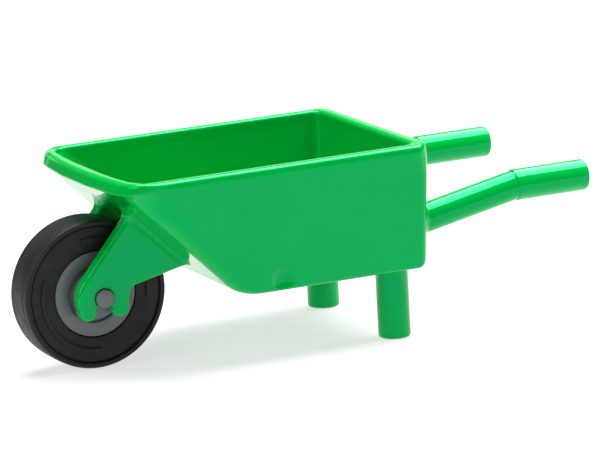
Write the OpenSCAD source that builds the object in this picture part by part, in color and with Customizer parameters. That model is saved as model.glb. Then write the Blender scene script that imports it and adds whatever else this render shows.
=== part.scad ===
// Toy wheelbarrow: one moulded barrow body that a two-piece wheel snaps into.
// X runs from the wheel to the grips, Z is up, and -Y is the left side.
// The origin is on the floor, under the middle of the whole barrow.

/* [Wheel] */
// Outer diameter of the tyre
tyre_d = 14.6; // [12.2:0.1:17.5]
// Width of the tyre
tyre_w = 4; // [3.4:0.1:4.8]
// Diameter of the hub's flanges, seen inside the tyre
hub_d = 8.3; // [7:0.1:9.9]
// Depth of the seat that the tyre's inner rib sits in
seat_depth = 0.4; // [0.3:0.05:0.6]
// Width of the hub between the outer faces of its flanges
hub_w = 3.6; // [3:0.1:4.2]
// Diameter of the raised boss on each side of the hub
boss_d = 4.6; // [3.8:0.1:5.4]
// Diameter of the stub axles
axle_d = 1.8; // [1.5:0.05:2.1]
// How far each stub axle stands out past its fork cheek
axle_out = 0.3; // [0.1:0.05:0.6]

/* [Fork] */
// Clear width between the two fork cheeks
fork_gap = 5.2; // [4.9:0.05:6.3]
// Thickness of each fork cheek
cheek_t = 1.5; // [1.2:0.1:1.9]
// Outer radius of a cheek round the axle
cheek_r = 2.7; // [2.4:0.05:3]
// Width of the snap-in slot under the axle seat
slot_w = 1.5; // [1.3:0.05:1.6]
// Height of the prong tips below the axle's centre
prong_drop = 2.1; // [1.8:0.05:2.4]
// Width of the thicker prong, behind the slot
rear_prong_w = 1.9; // [1.6:0.05:2.2]
// Height of the cheek's top above the axle's centre
cheek_top = 7.9; // [6.8:0.1:9]
// Height of the cheek's lower end above the axle's centre
cheek_heel = 2.05; // [1.8:0.05:2.6]

/* [Tub] */
// Width across the rim
rim_w = 24; // [20:0.1:28.8]
// Length of the rim along its middle
rim_l = 32.7; // [27.2:0.1:39.3]
// Height of the rim's top above the floor
rim_z = 19.4; // [17.6:0.1:23.3]
// Height of the tub's underside above the floor
tub_z = 7.1; // [5.9:0.1:8.5]
// Height of the band round the rim
rim_band = 1.2; // [0.9:0.05:1.6]
// How far the band stands out from the side and rear walls
rim_out = 0.2; // [0.1:0.05:0.4]
// How far the front lip hangs over the sloping wall
lip_out = 1.1; // [0.8:0.05:1.4]
// How far the middle of the front lip stands ahead of its ends
lip_bow = 1.2; // [0.8:0.05:1.6]
// Thickness of the tub's walls and floor
wall = 1.2; // [1:0.05:1.45]
// Draft of the side and rear walls, in degrees
draft = 2.5; // [1:0.1:3.5]
// Slope of the front wall from level, in degrees
front_slope = 45; // [40:0.5:50]
// Rim corner radius at the front
front_corner_r = 3.2; // [2.6:0.1:3.6]
// Rim corner radius at the rear
rear_corner_r = 1.8; // [1.4:0.1:2.2]
// Radius of the rear walls' upright corners, under the rim
wall_corner_r = 0.9; // [0.6:0.1:1.6]

/* [Legs] */
// Diameter of each leg
leg_d = 3.2; // [2.7:0.05:3.8]
// Distance between the two legs' centres
leg_gap = 16; // [13.4:0.1:17.6]
// Distance from the rim's rear edge to the legs' centres
leg_inset = 3.15; // [2.9:0.05:3.8]

/* [Handles] */
// Diameter of each grip bar
grip_d = 3.1; // [2.9:0.05:3.7]
// Length of each grip bar
grip_l = 7.8; // [6.5:0.1:9.4]
// Distance between the two grips' centres
grip_gap = 20.8; // [17.4:0.1:25]
// Height of the grips' centres above the floor
grip_z = 13.75; // [12:0.05:16]
// How far the grips' ends stand behind the rim
handle_reach = 17.15; // [14.3:0.05:20.6]
// Diameter of each arm
arm_d = 2.9; // [2.6:0.05:3.5]
// Distance between the arms' centres where they leave the tub
arm_root_gap = 18.8; // [15.6:0.1:19.4]
// Height of the arms' centres where they leave the tub
arm_root_z = 11.5; // [9.8:0.05:13]

/* [Fits] */
// Radial clearance between a stub axle and its seat
axle_fit = 0.05; // [0.02:0.01:0.09]
// Side clearance between the hub's boss and a fork cheek
boss_gap = 0.15; // [0.1:0.01:0.3]
// Clearance round the sides of the tyre's inner rib
rib_gap = 0.05; // [0.02:0.01:0.1]
// Gap between the tyre and the sloping front wall
tyre_gap = 0.55; // [0.4:0.01:1.2]

/* [Hidden] */
$fn = 96;

LEFT = -1;
RIGHT = 1;
BARROW_COLOUR = [0.0, 0.65, 0.3];
HUB_COLOUR = [0.47, 0.49, 0.5];
TYRE_COLOUR = [0.09, 0.1, 0.1];

arc_steps = 8;
edge_r = 0.3;
floor_edge_r = 0.5;
front_edge_r = 1.2;
rear_edge_r = 1;
inner_edge_r = 1.2;
far = 100;

// How much less the rim's inner corners turn than its outer ones, for each mm drawn in
corner_share = 0.6;

// Wheel, as radii and as distances from its middle plane
tyre_r = tyre_d / 2;
axle_z = tyre_r;
axle_r = axle_d / 2;
flange_r = hub_d / 2;
seat_r = flange_r - seat_depth;
rib_share = 0.3;
rib_half = tyre_w * rib_share;
flange_y = hub_w / 2;
boss_y = fork_gap / 2 - boss_gap;
boss_r = boss_d / 2;
groove_w = 0.5;
groove_r = boss_r + groove_w;
groove_slant = 0.1;
groove_depth = 0.35;
cheek_outer_y = fork_gap / 2 + cheek_t;
axle_end_y = cheek_outer_y + axle_out;

// Tyre section: a fine line and a raised ring near the edge of each side, small
// shoulders, and a tread that rises a little between them
ring_rise = 0.15;
ring_r = tyre_r - 0.55;
line_w = 0.12;
shoulder_r = 0.2;
crown_rise = 0.04;
tread_half = 1.15;

// Fork cheek: how far the nook under the blade stands behind the tip and above the
// axle, the front prong's radius for each mm beside the slot, and where the arcs of
// the tip and the front prong meet
nook_reach = 0.45;
nook_rise = 0.75;
prong_share = 0.46;
tip_end = 205;
prong_start = 190;

// The sloping front wall's outer face passes clear of the tyre. Its distance from
// the axle, measured square to the face, is wall_clear.
wall_clear = tyre_r + tyre_gap;
function front_x(z, inset = 0) =
    (wall_clear + inset - (z - axle_z) * cos(front_slope)) / sin(front_slope);

band_z = rim_z - rim_band;
lip_x = front_x(band_z) - lip_out;
rim_rear_x = lip_x + rim_l;
rim_land = wall + rim_out;
side_top = rim_w / 2 - rim_out;
rear_top = rim_rear_x - rim_out;
function drafted(top, z) = top - (band_z - z) * tan(draft);

// Handles and legs
grip_end_x = rim_rear_x + handle_reach;
bend_x = grip_end_x - grip_l;
leg_x = rim_rear_x - leg_inset;
arm_root_x = drafted(rear_top, arm_root_z);

// Half the overall length, from the tyre's front to the grips' ends
middle_x = (grip_end_x - tyre_r) / 2;

// Points along an arc in the plane, from angle a to angle b
function arc(cx, cy, r, a, b) =
    [for (i = [0:arc_steps]) let (t = a + (b - a) * i / arc_steps) [cx + r * cos(t), cy + r * sin(t)]];

// Points of the fillet of radius r at corner c, between the edges from p and to n
function unit(v) = v / norm(v);
function fillet(p, c, n, r) =
    let (u = unit(p - c), v = unit(n - c), half = acos(u * v) / 2)
    let (centre = c + unit(u + v) * r / sin(half))
    let (s = c + u * r / tan(half) - centre, e = c + v * r / tan(half) - centre)
    let (a = atan2(s[1], s[0]), turn = atan2(s[0] * e[1] - s[1] * e[0], s * e))
    arc(centre[0], centre[1], r, a, a + turn);

// A closed outline with a fillet of radius rs[i] at each corner whose radius isn't 0
function rounded(ps, rs) = let (n = len(ps)) [
    for (i = [0:n - 1])
        each rs[i] == 0 ? [ps[i]] : fillet(ps[(i + n - 1) % n], ps[i], ps[(i + 1) % n], rs[i])
];

// Rim outline from above, drawn in by inset, with its front bowed forward
function drawn_in(r, inset) = r - inset * corner_share;
function plan(inset, rr) =
    let (w = rim_w / 2 - inset, rear = rim_rear_x - inset, front = lip_x + inset)
    let (rf = drawn_in(front_corner_r, inset))
    let (big = (pow(w, 2) + pow(lip_bow, 2)) / (2 * lip_bow), big_x = front + big)
    let (corner_y = w - rf, corner_x = big_x - sqrt(pow(big - rf, 2) - pow(corner_y, 2)))
    let (tangent = asin(corner_y / (big - rf)))
    concat(
        arc(big_x, 0, big, 180 + tangent, 180 - tangent),
        arc(corner_x, corner_y, rf, 180 - tangent, 90),
        arc(rear - rr, w - rr, rr, 90, 0),
        arc(rear - rr, rr - w, rr, 0, -90),
        arc(corner_x, -corner_y, rf, -90, -180 + tangent)
    );

// Tub seen from the side and from the end, drawn in by inset from the outer faces
module side_outline(inset, floor_z, top_z, front_r, rear_r) {
    polygon(rounded(
        [
            [front_x(top_z, inset), top_z],
            [front_x(floor_z, inset), floor_z],
            [drafted(rear_top, floor_z) - inset, floor_z],
            [drafted(rear_top, top_z) - inset, top_z],
        ],
        [0, front_r, rear_r, 0]
    ));
}

module end_outline(inset, floor_z, top_z, r) {
    floor_half = drafted(side_top, floor_z) - inset;
    top_half = drafted(side_top, top_z) - inset;
    polygon(rounded(
        [[-top_half, top_z], [-floor_half, floor_z], [floor_half, floor_z], [top_half, top_z]],
        [0, r, r, 0]
    ));
}

// Extrude an outline drawn in X and Z across the barrow, or one in Y and Z along it
module across() {
    translate([0, far / 2, 0]) rotate([90, 0, 0]) linear_extrude(far) children();
}

module along() {
    translate([-far / 2, 0, 0]) rotate([90, 0, 90]) linear_extrude(far) children();
}

module tub_outside() {
    intersection() {
        across() side_outline(0, tub_z, rim_z, front_edge_r, rear_edge_r);
        along() end_outline(0, tub_z, rim_z, floor_edge_r);
        linear_extrude(rim_z) polygon(plan(rim_out, wall_corner_r));
    }
}

module tub_inside() {
    intersection() {
        across() side_outline(wall, tub_z + wall, rim_z + 1, inner_edge_r, inner_edge_r);
        along() end_outline(wall, tub_z + wall, rim_z + 1, inner_edge_r);
        linear_extrude(rim_z + 1)
            polygon(plan(rim_land, drawn_in(rear_corner_r, rim_land)));
    }
}

// Everything is drawn from the axle, then moved so that the origin is in the middle
module placed() {
    translate([-middle_x, 0, 0]) children();
}

module tub() {
    color(BARROW_COLOUR) placed() difference() {
        union() {
            tub_outside();
            translate([0, 0, band_z]) linear_extrude(rim_band)
                polygon(plan(0, rear_corner_r));
        }
        tub_inside();
    }
}

// Side view of a fork cheek: a rounded tip with two prongs, and a blade up to the wall
module cheek_outline() {
    top = [front_x(axle_z + cheek_top), axle_z + cheek_top];
    heel = [front_x(axle_z + cheek_heel), axle_z + cheek_heel];
    reach = norm([top[0], cheek_top]);
    touch = atan2(cheek_top, top[0]) + acos(cheek_r / reach);
    front_prong_r = (cheek_r - slot_w / 2) * prong_share;
    front_prong_x = -slot_w / 2 - front_prong_r;
    rear_prong_r = rear_prong_w / 2;
    rear_prong_x = slot_w / 2 + rear_prong_r;
    tip_z = axle_z - prong_drop;
    polygon(concat(
        [top],
        arc(0, axle_z, cheek_r, touch, tip_end),
        arc(front_prong_x, tip_z + front_prong_r, front_prong_r, prong_start, 360),
        arc(rear_prong_x, tip_z + rear_prong_r, rear_prong_r, 180, 360),
        [[cheek_r + nook_reach, axle_z + nook_rise], heel],
        [heel + [wall, 0], top + [wall, 0]]
    ));
}

module fork_cheek(side) {
    color(BARROW_COLOUR) placed() difference() {
        translate([0, side * (fork_gap + cheek_t) / 2 + cheek_t / 2, 0])
            rotate([90, 0, 0]) linear_extrude(cheek_t) difference() {
                cheek_outline();
                translate([-slot_w / 2, 0]) square([slot_w, axle_z]);
            }
        translate([0, 0, axle_z]) rotate([90, 0, 0])
            cylinder(r = axle_r + axle_fit, h = far, center = true);
        tub_outside();
    }
}

module leg(side) {
    color(BARROW_COLOUR) placed() translate([leg_x, side * leg_gap / 2, 0]) {
        cylinder(d1 = leg_d - 2 * edge_r, d2 = leg_d, h = edge_r);
        translate([0, 0, edge_r]) cylinder(d = leg_d, h = tub_z - edge_r);
    }
}

// The arm and its grip meet on the plane that halves the bend between them
function arm_root(side) = [arm_root_x, side * arm_root_gap / 2, arm_root_z];
function bend(side) = [bend_x, side * grip_gap / 2, grip_z];
function arm_way(side) = unit(bend(side) - arm_root(side));

module aim(way) {
    rotate([0, acos(way[2]), atan2(way[1], way[0])]) children();
}

module behind_bend(side) {
    translate(bend(side)) aim(unit(arm_way(side) + [1, 0, 0]))
        translate([-far / 2, -far / 2, 0]) cube(far);
}

module arm(side) {
    length = norm(bend(side) - arm_root(side));
    color(BARROW_COLOUR) placed() difference() {
        translate(arm_root(side)) aim(arm_way(side))
            translate([0, 0, -wall]) cylinder(d = arm_d, h = length + wall + arm_d);
        behind_bend(side);
        tub_outside();
    }
}

module grip(side) {
    color(BARROW_COLOUR) placed() intersection() {
        translate([grip_end_x, side * grip_gap / 2, grip_z]) rotate([0, -90, 0]) {
            cylinder(d1 = grip_d - 2 * edge_r, d2 = grip_d, h = edge_r);
            translate([0, 0, edge_r]) cylinder(d = grip_d, h = grip_l + grip_d);
        }
        behind_bend(side);
    }
}

// Revolve an outline, drawn as radius and distance along the axle, about the axle
module turned() {
    placed() translate([0, 0, axle_z]) rotate([90, 0, 0]) rotate_extrude() children();
}

module wheel_hub() {
    half = [
        [seat_r, rib_half],
        [flange_r, rib_half],
        [flange_r, flange_y],
        [groove_r, flange_y],
        [groove_r - groove_slant, flange_y - groove_depth],
        [boss_r, flange_y - groove_depth],
        [boss_r, boss_y],
        [axle_r, boss_y],
        [axle_r, axle_end_y - edge_r],
        [axle_r - edge_r, axle_end_y],
        [0, axle_end_y],
    ];
    last = len(half) - 1;
    color(HUB_COLOUR) turned()
        polygon(concat(half, [for (i = [last:-1:0]) [half[i][0], -half[i][1]]]));
}

module tyre() {
    shoulder_y = tyre_w / 2;
    wall_y = shoulder_y - ring_rise;
    half = [
        [seat_r, rib_half - rib_gap],
        [flange_r + rib_gap, rib_half - rib_gap],
        [flange_r + rib_gap, wall_y],
        [ring_r - line_w * 1.5, wall_y],
        [ring_r - line_w, wall_y - line_w],
        [ring_r - line_w / 2, wall_y],
        [ring_r, shoulder_y],
        [tyre_r - shoulder_r, shoulder_y],
        [tyre_r - crown_rise, shoulder_y - shoulder_r],
        [tyre_r, tread_half],
    ];
    last = len(half) - 1;
    color(TYRE_COLOUR) turned()
        polygon(concat(half, [for (i = [last:-1:0]) [half[i][0], -half[i][1]]]));
}

tub();
fork_cheek(LEFT);  // left_fork_cheek
fork_cheek(RIGHT);  // right_fork_cheek
leg(LEFT);  // left_leg
leg(RIGHT);  // right_leg
arm(LEFT);  // left_arm
arm(RIGHT);  // right_arm
grip(LEFT);  // left_grip
grip(RIGHT);  // right_grip
wheel_hub();
tyre();
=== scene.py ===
"""The looks of a toy wheelbarrow: a glossy green moulding, and a grey hub with a rubber tyre.

The barrow is one moulding, so it is one closed skin here: its walls, rim, fork cheeks, legs and
handles are described as rounded solids that run into each other with fillets, and the skin is drawn
round them. The hub and the tyre are outlines turned about the axle. Sizes are in millimetres,
measured from the axle and the floor, and become metres in the frame when a mesh is made.
"""

import logging
import math
from dataclasses import dataclass, field
from enum import Enum
from typing import Callable

import bmesh
import bpy
import numpy as np
from mathutils import Matrix, Vector


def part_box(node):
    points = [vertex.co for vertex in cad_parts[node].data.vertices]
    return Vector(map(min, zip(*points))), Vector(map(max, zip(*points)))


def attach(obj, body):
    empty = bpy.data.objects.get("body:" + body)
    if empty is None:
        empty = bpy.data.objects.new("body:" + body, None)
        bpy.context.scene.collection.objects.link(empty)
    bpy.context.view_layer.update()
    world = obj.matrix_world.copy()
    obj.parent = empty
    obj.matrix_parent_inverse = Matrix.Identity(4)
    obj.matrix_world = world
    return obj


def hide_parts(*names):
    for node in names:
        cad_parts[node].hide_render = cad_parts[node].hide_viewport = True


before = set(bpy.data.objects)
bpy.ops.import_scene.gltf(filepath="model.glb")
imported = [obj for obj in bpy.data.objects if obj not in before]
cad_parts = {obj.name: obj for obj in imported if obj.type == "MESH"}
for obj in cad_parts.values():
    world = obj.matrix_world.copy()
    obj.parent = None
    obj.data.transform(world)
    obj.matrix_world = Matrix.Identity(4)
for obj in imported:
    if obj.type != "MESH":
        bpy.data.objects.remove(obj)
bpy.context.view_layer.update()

MM = 0.001
log = logging.getLogger("wheelbarrow")

Field = Callable[[np.ndarray, np.ndarray, np.ndarray], np.ndarray]
Colour = tuple[float, float, float]
Place = tuple[float, float, float]
Corner = tuple[float, float, float]
Link = tuple[bpy.types.Node, str | int, bpy.types.Node, str | int]


class Slot(Enum):
    """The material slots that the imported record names."""

    BARROW = "barrow_plastic"
    WHEEL = "wheel_plastic"
    TYRE = "tyre_rubber"


class Body(Enum):
    """The two bodies of the model."""

    BARROW = "barrow"
    WHEEL = "wheel"


# Rounded solids -----------------------------------------------------------------------------------
# Each solid is a field: negative inside, positive outside, and the distance to its skin near it.


def rounded_cut(a: np.ndarray, b: np.ndarray, r: float | np.ndarray) -> np.ndarray:
    """Keep what lies in both solids, with the edge between them rounded.

    Args:
        a: Field of the first solid.
        b: Field of the second solid.
        r: Radius of the edge.

    Returns:
        The field of what both hold.
    """
    inside = np.minimum(np.maximum(a, b), -r)
    return inside + np.hypot(np.maximum(a + r, 0), np.maximum(b + r, 0))


def filleted_join(a: np.ndarray, b: np.ndarray, r: float | np.ndarray) -> np.ndarray:
    """Join two solids, with a fillet in the corner between them.

    Args:
        a: Field of the first solid.
        b: Field of the second solid.
        r: Radius of the fillet.

    Returns:
        The field of the two together.
    """
    outside = np.maximum(np.minimum(a, b), r)
    return outside - np.hypot(np.maximum(r - a, 0), np.maximum(r - b, 0))


def ease(x: np.ndarray, low: float, high: float) -> np.ndarray:
    """Rise smoothly from 0 at low to 1 at high.

    Args:
        x: Where to read the rise.
        low: Where it starts.
        high: Where it ends.

    Returns:
        The share, from 0 to 1.
    """
    t = np.clip((x - low) / (high - low), 0, 1)
    return t * t * (3 - 2 * t)


@dataclass
class Skin:
    """A closed mesh drawn round a field, as points and four-sided faces."""

    solid: Field
    low: np.ndarray
    high: np.ndarray
    step: float
    probe: float = 0.004
    slab: int = 24
    points: np.ndarray = field(init=False)
    faces: np.ndarray = field(init=False)

    def __post_init__(self) -> None:
        """Draw the skin, then settle its points on the solid."""
        self._draw()
        for _ in range(3):
            self.points = self.settled(self.points)
        for _ in range(4):
            self.points = self.settled(self._relaxed(self.points))

    def _samples(self, axes: list[np.ndarray]) -> np.ndarray:
        """Read the field at every point of a box grid, a slab at a time.

        Args:
            axes: The grid's places along X, Y and Z.

        Returns:
            The field's values, one for each grid point.
        """
        x, y, z = axes
        slabs = [
            self.solid(x[i : i + self.slab, None, None], y[None, :, None], z[None, None, :])
            for i in range(0, len(x), self.slab)
        ]
        return np.concatenate(slabs)

    def _draw(self) -> None:
        """Place one point in each grid cell that the skin crosses, and join neighbours."""
        margin = 1.6 * self.step
        axes = [
            np.arange(a - margin, b + margin, self.step, dtype=np.float32)
            for a, b in zip(self.low, self.high)
        ]
        values = self._samples(axes)
        inside = values < 0
        cells = tuple(n - 1 for n in values.shape)
        corners = [(i, j, k) for i in (0, 1) for j in (0, 1) for k in (0, 1)]
        held = np.zeros(cells, np.uint8)
        for i, j, k in corners:
            held += inside[i : i + cells[0], j : j + cells[1], k : k + cells[2]]
        crossed = np.argwhere((held > 0) & (held < len(corners)))
        number = np.full(cells, -1, np.int32)
        number[tuple(crossed.T)] = np.arange(len(crossed), dtype=np.int32)

        read = {c: values[tuple((crossed + c).T)].astype(float) for c in corners}
        total = np.zeros((len(crossed), 3))
        count = np.zeros(len(crossed))
        for a in corners:
            for axis in (n for n in range(3) if a[n] == 0):
                b = tuple(1 if n == axis else a[n] for n in range(3))
                cuts = (read[a] < 0) != (read[b] < 0)
                way = read[a][cuts] / (read[a][cuts] - read[b][cuts])
                total[cuts] += np.array(a, float)
                total[cuts, axis] += way
                count[cuts] += 1
        start = np.array([axis[0] for axis in axes], float)
        self.points = start + (crossed + total / count[:, None]) * self.step
        self.faces = np.concatenate([self._faces_along(axis, inside, number) for axis in range(3)])

    @staticmethod
    def _faces_along(axis: int, inside: np.ndarray, number: np.ndarray) -> np.ndarray:
        """Make a face round each grid edge along one axis that the skin crosses.

        Args:
            axis: The axis that the edges run along.
            inside: Which grid points lie in the solid.
            number: The point number of each cell, or -1.

        Returns:
            The faces, wound so that they point outwards.
        """
        second, third = (axis + 1) % 3, (axis + 2) % 3
        here = np.take(inside, range(inside.shape[axis] - 1), axis)
        there = np.take(inside, range(1, inside.shape[axis]), axis)
        edges = np.argwhere(here != there)
        leaves = here[tuple(edges.T)]
        ring = []
        for u, v in ((0, 0), (-1, 0), (-1, -1), (0, -1)):
            cell = edges.copy()
            cell[:, second] += u
            cell[:, third] += v
            ring.append(number[tuple(cell.T)])
        faces = np.stack(ring, 1)
        return np.where(leaves[:, None], faces, faces[:, ::-1])

    def slope(self, points: np.ndarray) -> np.ndarray:
        """Find which way the field rises fastest.

        Args:
            points: Where to look.

        Returns:
            The rise for each millimetre along X, Y and Z.
        """
        rises = []
        for axis in range(3):
            ahead, behind = points.copy(), points.copy()
            ahead[:, axis] += self.probe
            behind[:, axis] -= self.probe
            rises.append((self.solid(*ahead.T) - self.solid(*behind.T)) / (2 * self.probe))
        return np.stack(rises, 1)

    def settled(self, points: np.ndarray) -> np.ndarray:
        """Move points straight on to the solid's skin.

        Args:
            points: Points near the skin.

        Returns:
            The moved points.
        """
        way = self.slope(points)
        steep = np.maximum((way * way).sum(1), 0.25)
        move = self.solid(*points.T) / steep
        reach = np.clip(move, -self.step, self.step)
        return points - way * reach[:, None]

    def _relaxed(self, points: np.ndarray) -> np.ndarray:
        """Even out the points along the skin, half way to the middle of their neighbours.

        Args:
            points: Points on the skin.

        Returns:
            The moved points.
        """
        ends = np.concatenate([self.faces[:, [i, (i + 1) % 4]] for i in range(4)])
        a = np.concatenate([ends[:, 0], ends[:, 1]])
        b = np.concatenate([ends[:, 1], ends[:, 0]])
        near = np.bincount(a, minlength=len(points)).clip(1)
        middle = np.stack(
            [np.bincount(a, points[b, axis], len(points)) / near for axis in range(3)], 1
        )
        way = self.normals(points)
        move = (middle - points) * 0.5
        return points + move - way * (move * way).sum(1)[:, None]

    def normals(self, points: np.ndarray) -> np.ndarray:
        """Find the outward direction at each point.

        Args:
            points: Points on the skin.

        Returns:
            Unit vectors.
        """
        way = self.slope(points)
        return way / np.maximum(np.linalg.norm(way, axis=1), 1e-9)[:, None]


# Finishes -----------------------------------------------------------------------------------------


class Nodes:
    """A material's node tree, with short calls for the nodes that the finishes share."""

    def __init__(self, name: str) -> None:
        """Start a material that holds one shader.

        Args:
            name: The material's name.
        """
        self.material = bpy.data.materials.new(name)
        self.material.use_nodes = True
        self.tree = self.material.node_tree
        self.tree.nodes.clear()
        self.shader = self.tree.nodes.new("ShaderNodeBsdfPrincipled")
        output = self.tree.nodes.new("ShaderNodeOutputMaterial")
        self.tree.links.new(self.shader.outputs["BSDF"], output.inputs["Surface"])
        place = self.tree.nodes.new("ShaderNodeTexCoord")
        self.place = place.outputs["Object"]

    def noise(self, scale: float, detail: float = 2) -> bpy.types.NodeSocket:
        """Add a soft noise that is fixed to the piece.

        Args:
            scale: Waves for each metre.
            detail: How many finer layers it has.

        Returns:
            The noise's value, about 0.5 on average.
        """
        node = self.tree.nodes.new("ShaderNodeTexNoise")
        node.inputs["Scale"].default_value = scale
        node.inputs["Detail"].default_value = detail
        self.tree.links.new(self.place, node.inputs["Vector"])
        return node.outputs["Fac"]

    def spread(self, value: bpy.types.NodeSocket, low: float, high: float,
               start: float = 0.3, end: float = 0.7) -> bpy.types.NodeSocket:
        """Stretch a value from one range to another, and hold it there.

        Args:
            value: The value to stretch.
            low: What start becomes.
            high: What end becomes.
            start: The lower end of the value's range.
            end: The upper end of the value's range.

        Returns:
            The stretched value.
        """
        node = self.tree.nodes.new("ShaderNodeMapRange")
        node.inputs["From Min"].default_value = start
        node.inputs["From Max"].default_value = end
        node.inputs["To Min"].default_value = low
        node.inputs["To Max"].default_value = high
        self.tree.links.new(value, node.inputs["Value"])
        return node.outputs["Result"]

    def blend(self, share: bpy.types.NodeSocket, first: Colour, second: Colour) -> None:
        """Colour the shader with a mix of two colours.

        Args:
            share: How much of the second colour shows.
            first: The first colour.
            second: The second colour.
        """
        node = self.tree.nodes.new("ShaderNodeMix")
        node.data_type = "RGBA"
        ends = [socket for socket in node.inputs if socket.type == "RGBA"]
        for socket, colour in zip(ends, (first, second)):
            socket.default_value = (*colour, 1)
        self.tree.links.new(share, node.inputs["Factor"])
        result = next(o for o in node.outputs if o.type == "RGBA")
        self.tree.links.new(result, self.shader.inputs["Base Color"])

    def relief(self, layers: list[tuple[bpy.types.NodeSocket, float]]) -> None:
        """Roughen the surface, one layer of relief on another.

        Args:
            layers: Each layer's height and its depth in millimetres.
        """
        below = None
        for height, depth in layers:
            node = self.tree.nodes.new("ShaderNodeBump")
            node.inputs["Strength"].default_value = 1
            node.inputs["Distance"].default_value = depth * MM
            self.tree.links.new(height, node.inputs["Height"])
            if below:
                self.tree.links.new(below, node.inputs["Normal"])
            below = node.outputs["Normal"]
        self.tree.links.new(below, self.shader.inputs["Normal"])


@dataclass(frozen=True)
class Plastic:
    """A moulded plastic: glossy, with slow flow waves and a very fine skin."""

    name: str
    colour: Colour
    deep: Colour
    smooth: float
    rough: float
    wave: float
    grain: float
    tint: Colour = (1, 1, 1)
    ior: float = 1.53

    def material(self) -> bpy.types.Material:
        """Build the material.

        Returns:
            The finished material.
        """
        nodes = Nodes(self.name)
        shader = nodes.shader
        nodes.blend(nodes.spread(nodes.noise(160, 3), 0, 1), self.colour, self.deep)
        sheen = nodes.spread(nodes.noise(420, 4), self.smooth, self.rough)
        nodes.tree.links.new(sheen, shader.inputs["Roughness"])
        nodes.relief([(nodes.noise(140, 1), self.wave), (nodes.noise(9000, 2), self.grain)])
        shader.inputs["IOR"].default_value = self.ior
        shader.inputs["Specular Tint"].default_value = (*self.tint, 1)
        return nodes.material


@dataclass(frozen=True)
class Rubber:
    """A moulded rubber: near black, with a faint dust tone and a dullness that vary at random over it.
    """

    name: str
    colour: Colour
    dust: Colour
    smooth: float
    rough: float
    ior: float = 1.4

    def material(self) -> bpy.types.Material:
        """Build the material.

        Returns:
            The finished material.
        """
        nodes = Nodes(self.name)
        shader = nodes.shader
        nodes.blend(nodes.spread(nodes.noise(500, 5), 0, 1, 0.35, 0.75), self.colour, self.dust)
        sheen = nodes.spread(nodes.noise(900, 4), self.smooth, self.rough)
        nodes.tree.links.new(sheen, shader.inputs["Roughness"])
        nodes.relief([(nodes.noise(600, 3), 0.02), (nodes.noise(7000, 3), 0.012)])
        shader.inputs["IOR"].default_value = self.ior
        return nodes.material


GREEN = Plastic(
    "green_plastic", colour=(0.0, 0.41, 0.05), deep=(0.0, 0.395, 0.047),
    smooth=0.06, rough=0.1, wave=0.008, grain=0.0003, tint=(0.12, 1, 0.95),
)
GREY = Plastic(
    "grey_plastic", colour=(0.122, 0.135, 0.14), deep=(0.112, 0.125, 0.13),
    smooth=0.3, rough=0.4, wave=0.006, grain=0.0015,
)
BLACK = Rubber(
    "tyre_rubber", colour=(0.006, 0.006, 0.006), dust=(0.011, 0.011, 0.011),
    smooth=0.48, rough=0.62,
)


# The barrow ---------------------------------------------------------------------------------------


def axle_place() -> np.ndarray:
    """Find the point on the floor under the axle, which the barrow is measured from.

    Returns:
        The point in the frame, in millimetres.
    """
    low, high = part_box("wheel_hub")
    return np.array([(low.x + high.x) / 2, 0, 0]) / MM


def box_from_axle(node: str) -> tuple[np.ndarray, np.ndarray]:
    """Read a node's box in millimetres from the axle.

    Args:
        node: The node's name.

    Returns:
        Its lowest and highest corners.
    """
    low, high = (np.array(corner) / MM - axle_place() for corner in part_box(node))
    return low, high


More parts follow.
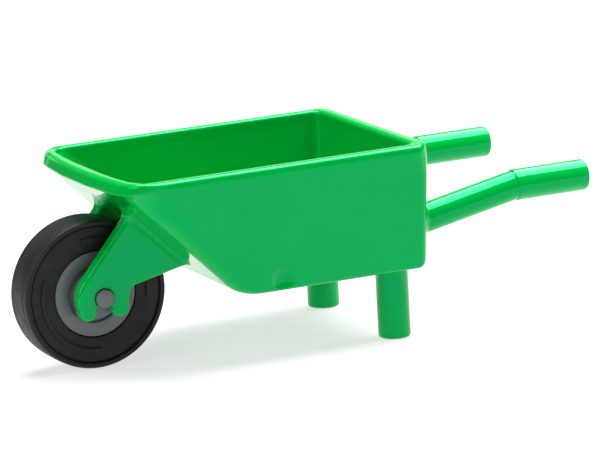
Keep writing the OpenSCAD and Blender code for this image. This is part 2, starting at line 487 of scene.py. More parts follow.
@dataclass
class Tub:
    """The tub: drafted sides, a sloping front, a rim with a bowed front lip, and a hollow inside."""

    wall: float = 1.2
    rim_band: float = 1.2
    rim_out: float = 0.2
    lip_out: float = 1.1
    lip_bow: float = 1.2
    draft: float = math.radians(2.5)
    front_slope: float = math.radians(45)
    blend_down: float = 2.3
    blend_up: float = 0.3
    band_crown: float = 0.13
    rim_edge: float = 0.24
    lip_top_edge: float = 0.4
    lip_edge: float = 0.12
    side_crown: float = 0.1
    lip_lean: float = math.radians(21)
    lip_end: float = 3.6
    lip_end_share: float = 0.95
    lip_fillet: float = 0.3
    corner_rise: float = 3
    front_reach: float = 2
    rear_reach: float = 1
    rear_rim_corner: float = 1.8
    rear_corner: float = 0.9
    front_corner: float = 3.2
    slope_corner: float = 1.5
    floor_edge: float = 0.42
    rear_floor_edge: float = 1.0
    nose_edge: float = 0.9
    inner_edge: float = 1.2
    inner_front_edge: float = 0.18
    inner_rear_edge: float = 0.45
    inner_rear_corner: float = 1.0
    inner_front_corner: float = 1.7

    def __post_init__(self) -> None:
        """Read the tub's overall places from the frame."""
        low, high = box_from_axle("tub")
        hub_low, hub_high = box_from_axle("wheel_hub")
        self.axle_z = (hub_low[2] + hub_high[2]) / 2
        self.floor_z, self.rim_z = low[2], high[2]
        self.band_z = self.rim_z - self.rim_band
        self.side_top = high[1] - self.rim_out
        self.rear_top = high[0] - self.rim_out
        half = high[1]
        self.bow_r = (half**2 + self.lip_bow**2) / (2 * self.lip_bow)
        self.bow_x = low[0] + self.bow_r
        rise = self.band_z - self.axle_z
        self.clear = (
            (low[0] + self.lip_out) * math.sin(self.front_slope) + rise * math.cos(self.front_slope)
        )

    def front_x(self, z: float) -> float:
        """Find where the sloping front wall's outer face is at a height.

        Args:
            z: The height above the floor.

        Returns:
            How far behind the axle it is.
        """
        fall = (z - self.axle_z) * math.cos(self.front_slope)
        return (self.clear - fall) / math.sin(self.front_slope)

    def lean(self, z: np.ndarray) -> np.ndarray:
        """Find how far the drafted walls have drawn in at a height below the rim band."""
        return np.maximum(self.band_z - z, 0) * math.tan(self.draft)

    def swell(self, z: np.ndarray) -> np.ndarray:
        """Find how far the rim band stands out at a height, less its crown towards the top."""
        out = self.rim_out * ease(z, self.band_z - self.blend_down, self.band_z + self.blend_up)
        return out - self.band_crown * (np.clip(z - self.band_z, 0, None) / self.rim_band)**2

    def flank(self, y: np.ndarray, z: np.ndarray) -> np.ndarray:
        """Field of the two side walls' outer faces, with the swell of the rim band."""
        return (np.abs(y) - self.side_top + self.lean(z) - self.swell(z)) * math.cos(self.draft)

    def tail(self, x: np.ndarray, z: np.ndarray) -> np.ndarray:
        """Field of the rear wall's outer face, with the swell of the rim band."""
        return (x - self.rear_top + self.lean(z) - self.swell(z)) * math.cos(self.draft)

    def slope(self, x: np.ndarray, z: np.ndarray) -> np.ndarray:
        """Field of the sloping front wall's outer face."""
        along = x * math.sin(self.front_slope) + (z - self.axle_z) * math.cos(self.front_slope)
        return self.clear - along

    def outside(self, x: np.ndarray, y: np.ndarray, z: np.ndarray) -> np.ndarray:
        """Field of the tub with nothing hollowed out.

        Args:
            x: Distance behind the axle.
            y: Distance to the right of the middle.
            z: Height above the floor.

        Returns:
            The field.
        """
        middle = 1 - self.lip_end_share * ease(np.abs(y), self.side_top - self.lip_end, self.side_top)
        set_back = np.maximum(z - self.band_z, 0) * math.tan(self.lip_lean) * middle
        nose = np.hypot(x - self.bow_x, y) - self.bow_r + set_back
        lip = filleted_join(self.slope(x, z), self.band_z - z, self.lip_fillet)
        front = rounded_cut(nose, lip, self.lip_edge)
        flank, tail = self.flank(y, z), self.tail(x, z)
        rise = ease(z, self.band_z - self.corner_rise, self.band_z)
        corner = self.slope_corner + (self.front_corner - self.slope_corner) * rise
        rise = ease(z, self.band_z - self.blend_down, self.band_z + self.blend_up)
        rear_corner = self.rear_corner + (self.rear_rim_corner - self.rear_corner) * rise
        walls = rounded_cut(rounded_cut(flank, tail, rear_corner), front, corner)
        ahead = ease(front - np.maximum(flank, tail), -self.front_reach, self.front_reach)
        behind = ease(tail - np.maximum(flank, front), -self.rear_reach, self.rear_reach)
        edge = self.floor_edge + (self.nose_edge - self.floor_edge) * ahead
        edge = edge + (self.rear_floor_edge - self.floor_edge) * behind
        shell = rounded_cut(walls, self.floor_z - z, edge)
        top_edge = self.rim_edge + (self.lip_top_edge - self.rim_edge) * ahead
        half_land = (self.wall + self.rim_out) / 2
        across = np.clip(-flank / half_land - 1, -1, 1)
        beside = ease(flank - np.maximum(front, tail), -1, 1)
        top = z - self.rim_z + self.side_crown * beside * across**2
        return rounded_cut(shell, top, top_edge)

    def hollow(
        self, x: np.ndarray, y: np.ndarray, z: np.ndarray
    ) -> tuple[np.ndarray, np.ndarray]:
        """Field of the space inside the tub, which runs on upwards, and the edge round its top.

        Args:
            x: Distance behind the axle.
            y: Distance to the right of the middle.
            z: Height above the floor.

        Returns:
            The field, and the radius of the rim's inner edge: crisp in front and soft behind.
        """
        lean = self.lean(z) + self.wall
        flank = (np.abs(y) - self.side_top + lean) * math.cos(self.draft)
        tail = (x - self.rear_top + lean) * math.cos(self.draft)
        nose = np.hypot(x - self.bow_x, y) - self.bow_r + self.wall + self.rim_out
        front = rounded_cut(self.slope(x, z) + self.wall, nose, self.lip_edge)
        walls = rounded_cut(flank, tail, self.inner_rear_corner)
        walls = rounded_cut(walls, front, self.inner_front_corner)
        ahead = ease(front - np.maximum(flank, tail), -1, 1)
        behind = ease(tail - np.maximum(flank, front), -self.rear_reach, self.rear_reach)
        edge = self.rim_edge + (self.inner_front_edge - self.rim_edge) * ahead
        edge = edge + (self.inner_rear_edge - self.rim_edge) * behind
        return rounded_cut(walls, self.floor_z + self.wall - z, self.inner_edge), edge


@dataclass
class Fork:
    """The two cheeks that hold the wheel: plates with a tip, two prongs, a slot and a seat."""

    tub: Tub
    tip_r: float = 2.7
    seat_r: float = 0.95
    slot_w: float = 1.5
    prong_drop: float = 2.1
    front_prong_r: float = 0.9
    rear_prong_r: float = 0.95
    top: float = 7.9
    heel: float = 2.05
    nook_x: float = 3.15
    nook_z: float = 0.75
    nook_r: float = 0.9
    shoulder_z: float = 1.03
    root: float = 0.9
    edge: float = 0.42
    slot_edge: float = 0.15
    fillet: float = 0.4
    lead_fillet: float = 1.1
    lead_reach: float = 1.2
    least_nook_r: float = 0.001
    nook_from: float = 1
    nook_to: float = 2.2

    def __post_init__(self) -> None:
        """Read where the cheeks stand from the frame, and find how their leading edge slopes."""
        low, high = box_from_axle("right_fork_cheek")
        self.middle_y = (low[1] + high[1]) / 2
        self.half_w = (high[1] - low[1]) / 2
        top_x = self.tub.front_x(self.tub.axle_z + self.top)
        reach = math.hypot(top_x, self.top)
        self.touch = math.atan2(self.top, top_x) + math.acos(self.tip_r / reach)

    def leading(self, x: np.ndarray, z: np.ndarray) -> np.ndarray:
        """Field of the blade's straight leading edge, measured from the axle."""
        return x * math.cos(self.touch) + z * math.sin(self.touch) - self.tip_r

    def root_fillet(self, x: np.ndarray, z: np.ndarray) -> np.ndarray:
        """Find the fillet against the wall, which swells round the blade's leading edge."""
        ahead = ease(self.leading(x, z - self.tub.axle_z), -self.lead_reach, 0)
        return self.fillet + (self.lead_fillet - self.fillet) * ahead

    def outline(self, x: np.ndarray, z: np.ndarray) -> np.ndarray:
        """Field of a cheek seen from the side, without its slot.

        Args:
            x: Distance behind the axle.
            z: Height above the axle.

        Returns:
            The field.
        """
        heel_x = self.tub.front_x(self.tub.axle_z + self.heel)
        rise = math.atan2(self.heel - self.nook_z, heel_x - self.nook_x)
        behind = z * math.cos(self.touch) - x * math.sin(self.touch)
        under = (x - self.nook_x) * math.sin(rise) - (z - self.nook_z) * math.cos(rise)
        blade = np.maximum(np.maximum(self.leading(x, z), behind), under)
        half = self.slot_w / 2
        tip = np.maximum(np.hypot(x, z) - self.tip_r, -z - self.shoulder_z)
        front = self._prong(x + half + self.front_prong_r, z, self.front_prong_r)
        rear = self._prong(x - half - self.rear_prong_r, z, self.rear_prong_r)
        lower = np.minimum(np.minimum(tip, front), rear)
        nook_r = self.least_nook_r + self.nook_r * ease(x, self.nook_from, self.nook_to)
        return filleted_join(blade, lower, nook_r)

    def _prong(self, x: np.ndarray, z: np.ndarray, r: float) -> np.ndarray:
        """Field of one prong, which has a round end.

        Args:
            x: Distance behind the prong's middle.
            z: Height above the axle.
            r: Half the prong's width.

        Returns:
            The field.
        """
        end = r - self.prong_drop
        return np.hypot(x, z - np.clip(z, end, 0)) - r

    def solid(self, x: np.ndarray, y: np.ndarray, z: np.ndarray) -> np.ndarray:
        """Field of both cheeks.

        Args:
            x: Distance behind the axle.
            y: Distance to the right of the middle.
            z: Height above the floor.

        Returns:
            The field.
        """
        up = z - self.tub.axle_z
        sheet = np.maximum(self.outline(x, up), -self.tub.slope(x, z) - self.root)
        plate = rounded_cut(sheet, np.abs(np.abs(y) - self.middle_y) - self.half_w, self.edge)
        slot = np.maximum(np.abs(x) - self.slot_w / 2, up)
        gap = np.minimum(slot, np.hypot(x, up) - self.seat_r)
        return rounded_cut(plate, -gap, self.slot_edge)


@dataclass
class Handles:
    """The two arms, which rise and splay from the rear wall, and the level grips behind them."""

    tub: Tub
    arm_r: float = 1.45
    grip_l: float = 7.8
    root_half_gap: float = 9.4
    root_z: float = 11.5
    root: float = 0.6
    end_edge: float = 0.3
    ring_edge: float = 0.06
    lap: float = 0.3
    fillet: float = 0.55

    def __post_init__(self) -> None:
        """Read where the grips lie from the frame, and aim the arms at them."""
        low, high = box_from_axle("right_grip")
        self.grip_r = (high[2] - low[2]) / 2
        self.end_x = high[0]
        root_x = self.tub.rear_top - self.tub.lean(self.root_z)
        start = np.array([root_x, self.root_half_gap, self.root_z])
        self.bend = np.array([high[0] - self.grip_l, high[1] - self.grip_r, high[2] - self.grip_r])
        self.way = (self.bend - start) / np.linalg.norm(self.bend - start)
        split = self.way + np.array([1, 0, 0])
        self.split = split / np.linalg.norm(split)

    def solid(self, x: np.ndarray, y: np.ndarray, z: np.ndarray) -> np.ndarray:
        """Field of both handles.

        Args:
            x: Distance behind the axle.
            y: Distance to the right of the middle.
            z: Height above the floor.

        Returns:
            The field.
        """
        px, py, pz = x - self.bend[0], np.abs(y) - self.bend[1], z - self.bend[2]
        wx, wy, wz = self.way
        along = px * wx + py * wy + pz * wz
        off = np.sqrt((px - along * wx)**2 + (py - along * wy)**2 + (pz - along * wz)**2)
        past = px * self.split[0] + py * self.split[1] + pz * self.split[2]
        arm = np.maximum(off - self.arm_r, past - self.lap)
        arm = np.maximum(arm, -self.tub.tail(x, z) - self.root)
        bar = rounded_cut(np.hypot(py, pz) - self.grip_r, -past, self.ring_edge)
        return np.minimum(arm, rounded_cut(bar, x - self.end_x, self.end_edge))


@dataclass
class Legs:
    """The two round legs under the back of the tub."""

    tub: Tub
    foot_edge: float = 0.3
    root: float = 0.6
    fillet: float = 0.35

    def __post_init__(self) -> None:
        """Read where the legs stand from the frame."""
        low, high = box_from_axle("right_leg")
        self.middle = (low + high) / 2
        self.leg_r = (high[0] - low[0]) / 2

    def solid(self, x: np.ndarray, y: np.ndarray, z: np.ndarray) -> np.ndarray:
        """Field of both legs.

        Args:
            x: Distance behind the axle.
            y: Distance to the right of the middle.
            z: Height above the floor.

        Returns:
            The field.
        """
        round_leg = np.hypot(x - self.middle[0], np.abs(y) - self.middle[1]) - self.leg_r
        leg = rounded_cut(round_leg, -z, self.foot_edge)
        return np.maximum(leg, z - self.tub.floor_z - self.root)


@dataclass
class Barrow:
    """The whole green moulding, as one closed skin."""

    tub: Tub = field(default_factory=Tub)
    dent_x: float = 15.6
    dent_z: float = 8.1
    dent_r: float = 1.25
    dent_depth: float = 0.36
    dent_edge: float = 0.1
    step: float = 0.16
    most_faces: int = 170_000
    finish: Plastic = GREEN
    nodes: tuple[str, ...] = (
        "tub", "left_fork_cheek", "right_fork_cheek", "left_leg", "right_leg",
        "left_arm", "right_arm", "left_grip", "right_grip",
    )

    def __post_init__(self) -> None:
        """Make the parts that run into the tub."""
        self.fork = Fork(self.tub)
        self.legs = Legs(self.tub)
        self.handles = Handles(self.tub)

    def dent(self, x: np.ndarray, y: np.ndarray, z: np.ndarray) -> np.ndarray:
        """Field of the ball that leaves the shallow moulding mark low on the left wall."""
        ball_r = (self.dent_r**2 + self.dent_depth**2) / (2 * self.dent_depth)
        lean = (self.tub.band_z - self.dent_z) * math.tan(self.tub.draft)
        ball_y = -(self.tub.side_top - lean + ball_r - self.dent_depth)
        return np.sqrt((x - self.dent_x)**2 + (y - ball_y)**2 + (z - self.dent_z)**2) - ball_r

    def solid(self, x: np.ndarray, y: np.ndarray, z: np.ndarray) -> np.ndarray:
        """Field of the whole moulding.

        Args:
            x: Distance behind the axle.
            y: Distance to the right of the middle.
            z: Height above the floor.

        Returns:
            The field.
        """
        made = self.tub.outside(x, y, z)
        made = rounded_cut(made, -self.dent(x, y, z), self.dent_edge)
        made = filleted_join(made, self.fork.solid(x, y, z), self.fork.root_fillet(x, z))
        made = filleted_join(made, self.legs.solid(x, y, z), self.legs.fillet)
        made = filleted_join(made, self.handles.solid(x, y, z), self.handles.fillet)
        hollow, edge = self.tub.hollow(x, y, z)
        return rounded_cut(made, -hollow, edge)

    def build(self) -> bpy.types.Object:
        """Make the moulding's mesh and dress it.

        Returns:
            The finished piece.
        """
        boxes = [box_from_axle(name) for name in self.nodes]
        low = np.min([b[0] for b in boxes], 0)
        high = np.max([b[1] for b in boxes], 0)
        skin = Skin(self.solid, low, high, self.step * (1))
        log.info("the skin has %d points and %d faces", len(skin.points), len(skin.faces))
        piece = object_from(skin.points, skin.faces, "barrow_moulding")
        thinned(piece, self.most_faces)
        points = read_points(piece)
        points = skin.settled(skin.settled(points))
        ways = skin.normals(points)
        write_points(piece, (points + axle_place()) * MM)
        piece.data.shade_smooth()
        piece.data.normals_split_custom_set_from_vertices(ways.tolist())
        piece.data.materials.append(self.finish.material())
        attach(piece, Body.BARROW.value)
        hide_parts(*self.nodes)
        return piece


# Mesh help ----------------------------------------------------------------------------------------


def object_from(points: np.ndarray, faces: np.ndarray, name: str) -> bpy.types.Object:
    """Make an object of points and four-sided faces.

    Args:
        points: The points.
        faces: Four point numbers for each face.
        name: The object's name.

    Returns:
        The object, in the scene.
    """
    mesh = bpy.data.meshes.new(name)
    mesh.vertices.add(len(points))
    mesh.vertices.foreach_set("co", points.astype(np.float32).ravel())
    mesh.loops.add(faces.size)
    mesh.loops.foreach_set("vertex_index", faces.astype(np.int32).ravel())
    mesh.polygons.add(len(faces))
    mesh.polygons.foreach_set("loop_start", np.arange(0, faces.size, 4, dtype=np.int32))
    mesh.update(calc_edges=True)
    mesh.validate()
    made = bpy.data.objects.new(name, mesh)
    bpy.context.scene.collection.objects.link(made)
    return made


def plain_mesh(piece: bpy.types.Object) -> None:
    """Turn a piece and its modifiers into a plain mesh.

    Args:
        piece: The piece to settle.
    """
    view = bpy.context.evaluated_depsgraph_get()
    made = bpy.data.meshes.new_from_object(piece.evaluated_get(view))
    piece.modifiers.clear()
    piece.data = made
    made.name = piece.name


def thinned(piece: bpy.types.Object, most: int) -> None:
    """Drop the faces that flat places don't need.

    Args:
        piece: The piece to thin.
        most: How many triangles it may keep.
    """
    count = 2 * len(piece.data.polygons)
    if count > most:
        thin = piece.modifiers.new("thin", "DECIMATE")
        thin.ratio = most / count
        plain_mesh(piece)


def read_points(piece: bpy.types.Object) -> np.ndarray:
    """Read a piece's points.

    Args:
        piece: The piece.

    Returns:
        One row for each point.
    """
    points = np.empty(len(piece.data.vertices) * 3, np.float32)
    piece.data.vertices.foreach_get("co", points)
    return points.reshape(-1, 3).astype(float)


def write_points(piece: bpy.types.Object, points: np.ndarray) -> None:
    """Put a piece's points in new places.

    Args:
        piece: The piece.
        points: One row for each point, in metres in the frame.
    """
    piece.data.vertices.foreach_set("co", points.astype(np.float32).ravel())
    piece.data.update()


# The wheel ----------------------------------------------------------------------------------------


@dataclass
class PieceTree:
    """A node tree that makes one piece, with named inputs for its sizes."""

    name: str
    inputs: dict[str, str] = field(default_factory=dict)

    def _start(self, sockets: dict[str, str]) -> None:
        """Make the tree, its inputs and its output.

        Args:
            sockets: What kind of value each named input holds.
        """
        self.tree = bpy.data.node_groups.new(self.name, "GeometryNodeTree")
        face = self.tree.interface
        face.new_socket("Geometry", in_out="INPUT", socket_type="NodeSocketGeometry")
        for label, kind in sockets.items():
            socket = face.new_socket(label, in_out="INPUT", socket_type=f"NodeSocket{kind}")
            self.inputs[label] = socket.identifier
        face.new_socket("Geometry", in_out="OUTPUT", socket_type="NodeSocketGeometry")
        self.source = self._add("NodeGroupInput")

    def _add(self, kind: str) -> bpy.types.Node:
        """Add a node of one kind."""
        return self.tree.nodes.new(kind)

    def _join(self, links: list[Link]) -> None:
        """Join the nodes, in the order given."""
        for node, given, other, taken in links:
            self.tree.links.new(node.outputs[given], other.inputs[taken])

    def _finish(self, last: bpy.types.Node, given: str) -> bpy.types.NodeTree:
        """Shade what the last node gives, make its copies real and dress it.

        Args:
            last: The last node of the piece's own shape.
            given: The name of its output.

        Returns:
            The tree.
        """
        smooth, real = self._add("GeometryNodeSetShadeSmooth"), self._add("GeometryNodeRealizeInstances")
        dress, end = self._add("GeometryNodeSetMaterial"), self._add("NodeGroupOutput")
        self._join([
            (last, given, smooth, "Geometry"), (smooth, "Geometry", real, "Geometry"),
            (real, "Geometry", dress, "Geometry"), (self.source, "Material", dress, "Material"),
            (dress, "Geometry", end, "Geometry"),
        ])
        return self.tree


@dataclass
class TurnedTree(PieceTree):
    """A node tree that turns an outline about the axle, with named inputs for its sizes."""

    def build(self) -> bpy.types.NodeTree:
        """Make the tree.

        Returns:
            The tree. self.inputs holds the identifier of each named input.
        """
        self._start({
            "Path radius": "Float", "Segments": "Int", "Corner steps": "Int", "Weld": "Float",
            "Material": "Material",
        })
        add, source = self._add, self.source
        outline, corners = add("GeometryNodeMeshToCurve"), add("GeometryNodeFilletCurve")
        radius = add("GeometryNodeInputNamedAttribute")
        circle, sweep = add("GeometryNodeCurvePrimitiveCircle"), add("GeometryNodeCurveToMesh")
        weld = add("GeometryNodeMergeByDistance")
        radius.data_type = "FLOAT"
        radius.inputs["Name"].default_value = "corner"
        corners.mode = "POLY"
        self._join([
            (source, "Geometry", outline, "Mesh"),
            (outline, "Curve", corners, "Curve"),
            (source, "Corner steps", corners, "Count"),
            (radius, 0, corners, "Radius"),
            (source, "Path radius", circle, "Radius"),
            (source, "Segments", circle, "Resolution"),
            (circle, "Curve", sweep, "Curve"),
            (corners, "Curve", sweep, "Profile Curve"),
            (sweep, "Mesh", weld, "Geometry"),
            (source, "Weld", weld, "Distance"),
        ])
        return self._finish(weld, "Geometry")


@dataclass
class BarTree(PieceTree):
    """A node tree that lays raised bars round both sidewalls, with named inputs."""

    def build(self) -> bpy.types.NodeTree:
        """Make the tree.

        Returns:
            The tree. self.inputs holds the identifier of each named input.
        """
        self._start({
            "Bar radius": "Float", "Bar width": "Float", "Bar depth": "Float", "Bar edge": "Float",
            "Start": "Float", "Sweep": "Float", "Turn": "Vector", "Bars": "Int", "Lift": "Vector",
            "Material": "Material",
        })
        add, source = self._add, self.source
        arc, section = add("GeometryNodeCurveArc"), add("GeometryNodeCurvePrimitiveQuadrilateral")
        soft, sweep = add("GeometryNodeFilletCurve"), add("GeometryNodeCurveToMesh")
        lifted, points = add("GeometryNodeTransform"), add("GeometryNodePoints")
        copies, index = add("GeometryNodeInstanceOnPoints"), add("GeometryNodeInputIndex")
        turn, other = add("ShaderNodeVectorMath"), add("GeometryNodeTransform")
        both = add("GeometryNodeJoinGeometry")
        arc.inputs["Resolution"].default_value = 96
        soft.mode = "POLY"
        soft.inputs["Count"].default_value = 4
        sweep.inputs["Fill Caps"].default_value = True
        turn.operation = "SCALE"
        other.inputs["Rotation"].default_value = (math.pi, 0, 0)
        self._join([
            (source, "Bar radius", arc, "Radius"),
            (source, "Start", arc, "Start Angle"),
            (source, "Sweep", arc, "Sweep Angle"),
            (source, "Bar width", section, "Width"),
            (source, "Bar depth", section, "Height"),
            (section, "Curve", soft, "Curve"),
            (source, "Bar edge", soft, "Radius"),
            (arc, "Curve", sweep, "Curve"),
            (soft, "Curve", sweep, "Profile Curve"),
            (sweep, "Mesh", lifted, "Geometry"),
            (source, "Lift", lifted, "Translation"),
            (source, "Bars", points, "Count"),
            (points, 0, copies, "Points"),
            (lifted, "Geometry", copies, "Instance"),
            (source, "Turn", turn, 0),
            (index, "Index", turn, "Scale"),
            (turn, "Vector", copies, "Rotation"),
            (copies, "Instances", other, "Geometry"),
            (copies, "Instances", both, "Geometry"),
            (other, "Geometry", both, "Geometry"),
        ])
        return self._finish(both, "Geometry")


@dataclass
class Wheel:
    """The hub, with its bosses and stub axles, and the tyre that is stretched on it."""

    segments: int = 192
    corner_steps: int = 4
    weld: float = 0.0005
    seat_depth: float = 0.4
    rib_w: float = 2.4
    rib_gap: float = 0.05
    hub_w: float = 3.6
    boss_r: float = 2.3
    boss_y: float = 2.45
    groove_w: float = 0.5
    groove_depth: float = 0.35
    axle_r: float = 0.9
    side_drop: float = 0.18
    ring_w: float = 0.54
    line_w: float = 0.1
    shoulder: float = 0.18
    tread_half: float = 1.15
    tread_step: float = 0.05
    bar_r: float = 5.45
    bar_w: float = 0.4
    bar_depth: float = 0.3
    bar_rise: float = 0.18
    bar_edge: float = 0.05
    bar_start: float = math.radians(158)
    bar_sweep: float = math.radians(114)
    bar_turn: float = math.radians(191)
    hub_finish: Plastic = GREY
    tyre_finish: Rubber = BLACK

    def __post_init__(self) -> None:
        """Read the wheel's overall sizes from the frame."""
        low, high = box_from_axle("tyre")
        self.tyre_r, self.tyre_half = (high[2] - low[2]) / 2, high[1]
        self.axle_z = (high[2] + low[2]) / 2
        low, high = box_from_axle("wheel_hub")
        self.flange_r, self.axle_end = (high[2] - low[2]) / 2, high[1]

    def hub_outline(self) -> list[Corner]:
        """List the hub's outline from its middle outwards, as radius, distance and corner radius."""
        seat, flange_y, rib = self.flange_r - self.seat_depth, self.hub_w / 2, self.rib_w / 2
        groove_r, groove_y = self.boss_r + self.groove_w, self.hub_w / 2 - self.groove_depth
        return [
            (seat, rib, 0.04),
            (self.flange_r, rib, 0.04),
            (self.flange_r, flange_y, 0.12),
            (groove_r, flange_y - 0.04, 0.1),
            (groove_r - 0.12, groove_y, 0.08),
            (self.boss_r, groove_y, 0.08),
            (self.boss_r, self.boss_y, 0.14),
            (self.axle_r, self.boss_y, 0.05),
            (self.axle_r, self.axle_end, 0.12),
            (0, self.axle_end, 0),
        ]

    def tyre_outline(self) -> list[Corner]:
        """List the tyre's outline from its middle outwards, as radius, distance and corner radius."""
        seat, rib = self.flange_r - self.seat_depth, self.rib_w / 2 - self.rib_gap
        bead, side, out = self.flange_r + self.rib_gap, self.tyre_half - self.side_drop, self.tyre_r
        ring, line, band = out - self.ring_w, self.line_w, self.tread_half
        return [
            (seat, rib, 0.04),
            (bead, rib, 0.04),
            (bead, side, 0.12),
            (ring - line * 1.8, side, 0.03),
            (ring - line * 1.5, side - line, 0.03),
            (ring - line * 0.7, side - line, 0.03),
            (ring - line * 0.4, side, 0.03),
            (ring, self.tyre_half, 0.06),
            (out - self.shoulder, self.tyre_half, 0.1),
            (out - 0.03, self.tyre_half - self.shoulder, 0.12),
            (out - 0.02, band + 0.08, 0.02),
            (out - self.tread_step, band + 0.05, 0.02),
            (out - self.tread_step, band, 0.02),
            (out, band - 0.04, 0.03),
        ]

    def turned(self, name: str, half: list[Corner], closed: bool,
               material: bpy.types.Material) -> bpy.types.Object:
        """Turn an outline about the axle.

        Args:
            name: The piece's name.
            half: The outline on one side of the wheel's middle.
            closed: Whether the two halves meet at both ends.
            material: What the piece is made of.

        Returns:
            The piece, in its place in the frame.
        """
        path = self.tyre_r / 2
        if closed:
            rows = half + [(r, -w, c) for r, w, c in reversed(half)]
        else:
            rows = [(r, -w, c) for r, w, c in reversed(half)] + half
        mesh = bpy.data.meshes.new(name)
        count = len(rows)
        edges = [(i, (i + 1) % count) for i in range(count if closed else count - 1)]
        mesh.from_pydata([(r - path, w, 0) for r, w, _ in rows], edges, [])
        corner = mesh.attributes.new("corner", "FLOAT", "POINT")
        corner.data.foreach_set("value", [c for _, _, c in rows])
        piece = bpy.data.objects.new(name, mesh)
        bpy.context.scene.collection.objects.link(piece)
        tree = TurnedTree("turned_about_the_axle")
        turn = piece.modifiers.new("turn", "NODES")
        turn.node_group = tree.build()
        for label, value in (
            ("Path radius", path), ("Segments", self.segments), ("Corner steps", self.corner_steps),
            ("Weld", self.weld), ("Material", material),
        ):
            turn[tree.inputs[label]] = value
        plain_mesh(piece)
        self._seated(piece)
        return piece

    def _seated(self, piece: bpy.types.Object) -> None:
        """Turn a piece from the tree's axes to the axle, move it there, and point its faces out.

        Args:
            piece: A piece in millimetres, round the Z axis.
        """
        x, y, z = read_points(piece).T
        write_points(piece, (np.stack([x, -z, y + self.axle_z], 1) + axle_place()) * MM)
        work = bmesh.new()
        work.from_mesh(piece.data)
        bmesh.ops.recalc_face_normals(work, faces=work.faces)
        work.to_mesh(piece.data)
        work.free()
        piece.data.shade_smooth()

    def side_bars(self, material: bpy.types.Material) -> bpy.types.Object:
        """Lay the raised bars round both sidewalls.

        Args:
            material: What they are made of.

        Returns:
            The bars as one piece.
        """
        mesh = bpy.data.meshes.new("tyre_side_bars")
        piece = bpy.data.objects.new("tyre_side_bars", mesh)
        bpy.context.scene.collection.objects.link(piece)
        tree = BarTree("bars_round_the_sidewalls")
        bars = piece.modifiers.new("bars", "NODES")
        bars.node_group = tree.build()
        lift = self.tyre_half - self.side_drop + self.bar_rise - self.bar_depth / 2
        for label, value in (
            ("Bar radius", self.bar_r), ("Bar width", self.bar_w), ("Bar depth", self.bar_depth),
            ("Bar edge", self.bar_edge), ("Start", self.bar_start), ("Sweep", self.bar_sweep),
            ("Turn", (0.0, 0.0, self.bar_turn)), ("Bars", 2), ("Lift", (0.0, 0.0, lift)),
            ("Material", material),
        ):
            bars[tree.inputs[label]] = value
        plain_mesh(piece)
        self._seated(piece)
        return piece

    def build(self) -> list[bpy.types.Object]:
        """Make the wheel's pieces and dress them.

        Returns:
            The finished pieces.
        """
        rubber = self.tyre_finish.material()
        hub = self.turned("wheel_hub_turned", self.hub_outline(), False, self.hub_finish.material())
        tyre = self.turned("tyre_turned", self.tyre_outline(), True, rubber)
        bars = self.side_bars(rubber)
        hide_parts("wheel_hub")
        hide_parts("tyre")
        for piece in (hub, tyre, bars):
            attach(piece, Body.WHEEL.value)
        return [hub, tyre, bars]


# The studio ---------------------------------------------------------------------------------------


@dataclass(frozen=True)
class SoftLight:
    """A square soft light that looks at the barrow."""

    name: str
    place: Place
    size: float
    power: float

    def build(self, target: Vector) -> bpy.types.Object:
        """Hang the light.

        Args:
            target: The point that it looks at.

        Returns:
            The light.
        """
        lamp = bpy.data.lights.new(self.name, "AREA")
        lamp.shape = "SQUARE"
        lamp.size = self.size
        lamp.energy = self.power
        made = bpy.data.objects.new(self.name, lamp)
        made.location = self.place
        made.rotation_euler = (target - made.location).to_track_quat("-Z", "Y").to_euler()
        bpy.context.scene.collection.objects.link(made)
        return made


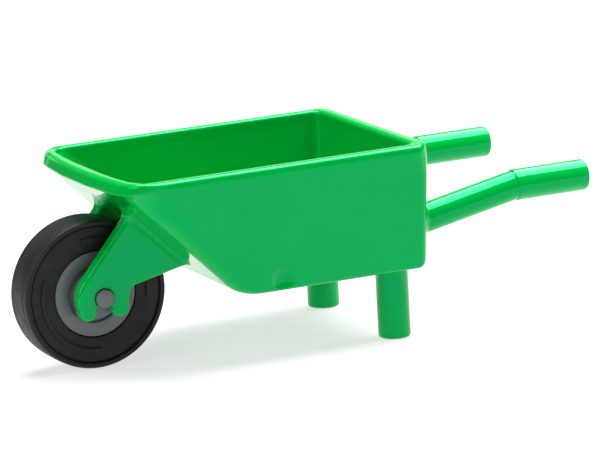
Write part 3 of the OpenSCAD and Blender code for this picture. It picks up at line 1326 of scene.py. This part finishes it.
@dataclass
class Studio:
    """The pale floor and backdrop, the soft lights and the camera."""

    floor_half: float = 2.5
    backdrop_height: float = 0.76
    backdrop_from: float = -0.5
    floor_colour: Colour = (0.3, 0.3, 0.3)
    floor_glow: float = 0.66
    floor_shade: float = 0.99
    floor_drop: float = 0.02
    air: Colour = (0.07, 0.075, 0.07)
    azimuth: float = math.radians(-24.745)
    elevation: float = math.radians(12.429)
    roll: float = math.radians(-3.132)
    distance: float = 0.474397
    lens: float = 290.05
    look_behind: float = 22.821
    look_height: float = 10.526
    lights: tuple[SoftLight, ...] = (
        SoftLight("overhead", (0.16, 0.06, 0.5), 0.6, 9.5),
        SoftLight("front_fill", (-0.6, -0.12, 0.32), 0.4, 1.6),
    )

    def __post_init__(self) -> None:
        """Find the point that the camera looks at, measured from the axle."""
        x, y, _ = axle_place()
        self.target = Vector((x + self.look_behind, y, self.look_height)) * MM

    def floor(self) -> bpy.types.Object:
        """Lay the floor, with a low backdrop standing on it behind the barrow.

        Returns:
            The floor and backdrop.
        """
        half, top = self.floor_half, self.backdrop_height
        mesh = bpy.data.meshes.new("floor_and_backdrop")
        below = -self.floor_drop * MM
        start = self.backdrop_from
        corners = [(-half, -half, below), (half, -half, below), (half, half, below),
                   (start, half, below), (-half, half, below), (half, half, top), (start, half, top)]
        mesh.from_pydata(corners, [], [(0, 1, 2, 3, 4), (3, 2, 5, 6)])
        made = bpy.data.objects.new("floor_and_backdrop", mesh)
        bpy.context.scene.collection.objects.link(made)
        nodes = Nodes("pale_floor")
        nodes.blend(nodes.spread(nodes.noise(30), 0, 1), self.floor_colour,
                    tuple(c * self.floor_shade for c in self.floor_colour))
        nodes.shader.inputs["Roughness"].default_value = 0.9
        nodes.shader.inputs["Emission Color"].default_value = (1, 1, 1, 1)
        nodes.shader.inputs["Emission Strength"].default_value = self.floor_glow
        mesh.materials.append(nodes.material)
        return made

    def surroundings(self) -> None:
        """Fill the air with a low even light, pale where the camera looks past the floor."""
        world = bpy.data.worlds.new("surroundings")
        bpy.context.scene.world = world
        world.use_nodes = True
        tree = world.node_tree
        light = tree.nodes["Background"]
        light.inputs["Color"].default_value = (*self.air, 1)
        pale = tree.nodes.new("ShaderNodeBackground")
        mix = tree.nodes.new("ShaderNodeMixShader")
        path = tree.nodes.new("ShaderNodeLightPath")
        tree.links.new(path.outputs["Is Camera Ray"], mix.inputs["Fac"])
        tree.links.new(light.outputs["Background"], mix.inputs[1])
        tree.links.new(pale.outputs["Background"], mix.inputs[2])
        pale.inputs["Color"].default_value = (1, 1, 1, 1)
        tree.links.new(mix.outputs["Shader"], tree.nodes["World Output"].inputs["Surface"])

    def camera(self) -> bpy.types.Object:
        """Set up the camera.

        Returns:
            The camera.
        """
        lens = bpy.data.cameras.new("camera")
        lens.lens = self.lens
        lens.sensor_width = 36
        lens.clip_start, lens.clip_end = 0.01, 20
        made = bpy.data.objects.new("camera", lens)
        bpy.context.scene.collection.objects.link(made)
        a, e = self.azimuth, self.elevation
        back = Vector((math.sin(a) * math.cos(e), -math.cos(a) * math.cos(e), math.sin(e)))
        right = Vector((math.cos(a), math.sin(a), 0))
        up = back.cross(right)
        across = right * math.cos(self.roll) + up * math.sin(self.roll)
        upward = up * math.cos(self.roll) - right * math.sin(self.roll)
        turn = Matrix((across, upward, back)).transposed().to_4x4()
        made.matrix_world = Matrix.Translation(self.target + back * self.distance) @ turn
        bpy.context.scene.camera = made
        return made

    def build(self) -> None:
        """Set up the whole studio."""
        self.floor()
        self.surroundings()
        self.camera()
        for light in self.lights:
            light.build(self.target)
        bpy.context.scene.view_settings.view_transform = "Standard"


def main() -> None:
    """Build the barrow, the wheel and the studio, and report each piece."""
    logging.basicConfig(level=logging.INFO, format="%(name)s: %(message)s")
    pieces = [Barrow().build(), *Wheel().build()]
    Studio().build()
    for piece in pieces:
        triangles = sum(len(face.vertices) - 2 for face in piece.data.polygons)
        log.info("%s: %d triangles", piece.name, triangles)


if __name__ == "__main__":
    main()
